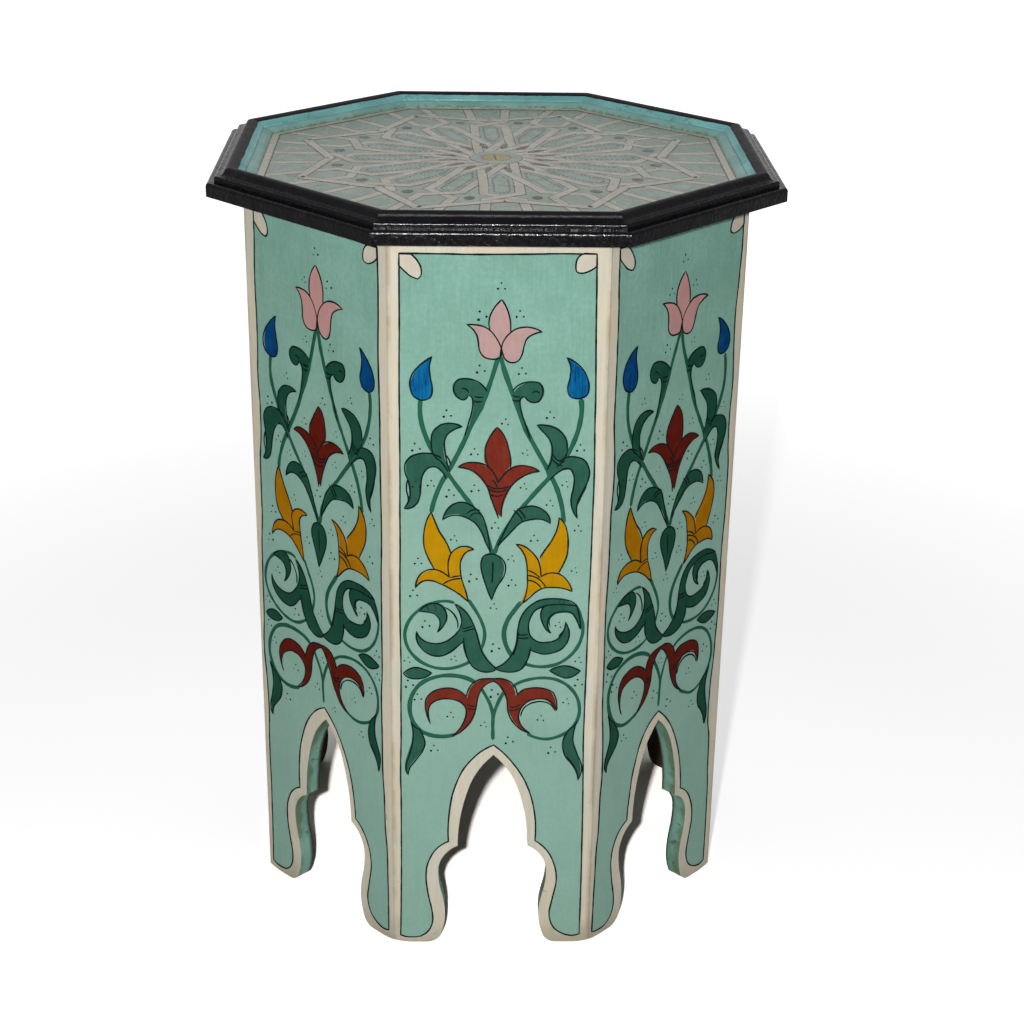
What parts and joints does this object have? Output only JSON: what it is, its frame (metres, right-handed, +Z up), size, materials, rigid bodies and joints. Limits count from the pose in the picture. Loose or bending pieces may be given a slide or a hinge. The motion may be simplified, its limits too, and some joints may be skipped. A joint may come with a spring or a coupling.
{
  "type": "side table",
  "caption": "Octagonal painted wooden side table: mitred boards with sawn pointed arches and scrolled feet, under a top board in a moulded rim.",
  "frame": {"origin": "on the floor under the middle of the table", "axes": "+Z up, -Y out of the front side, +X to the right of it"},
  "size_m": [0.38, 0.38, 0.5398],
  "materials": {
    "painted_panel": "varnished paint",
    "black_rim": "gloss varnish",
    "turquoise_lipping": "varnished paint",
    "painted_top": "gloss varnish",
    "bare_wood": "sawn",
    "screw_steel": "plain"
  },
  "bodies": {
    "root": {"back_panel": "painted_panel", "back_rim": "black_rim", "back_lipping": "turquoise_lipping", "back_batten": "bare_wood", "corner_block_1": "bare_wood", "back_left_panel": "painted_panel", "back_left_rim": "black_rim", "back_left_lipping": "turquoise_lipping", "back_left_batten": "bare_wood", "corner_block_2": "bare_wood", "left_panel": "painted_panel", "left_rim": "black_rim", "left_lipping": "turquoise_lipping", "left_batten": "bare_wood", "corner_block_3": "bare_wood", "front_left_panel": "painted_panel", "front_left_rim": "black_rim", "front_left_lipping": "turquoise_lipping", "front_left_batten": "bare_wood", "corner_block_4": "bare_wood", "front_panel": "painted_panel", "front_rim": "black_rim", "front_lipping": "turquoise_lipping", "front_batten": "bare_wood", "corner_block_5": "bare_wood", "front_right_panel": "painted_panel", "front_right_rim": "black_rim", "front_right_lipping": "turquoise_lipping", "front_right_batten": "bare_wood", "corner_block_6": "bare_wood", "right_panel": "painted_panel", "right_rim": "black_rim", "right_lipping": "turquoise_lipping", "right_batten": "bare_wood", "corner_block_7": "bare_wood", "back_right_panel": "painted_panel", "back_right_rim": "black_rim", "back_right_lipping": "turquoise_lipping", "back_right_batten": "bare_wood", "corner_block_8": "bare_wood", "top_board": "painted_top", "top_screws": "screw_steel"}
  },
  "joints": []
}
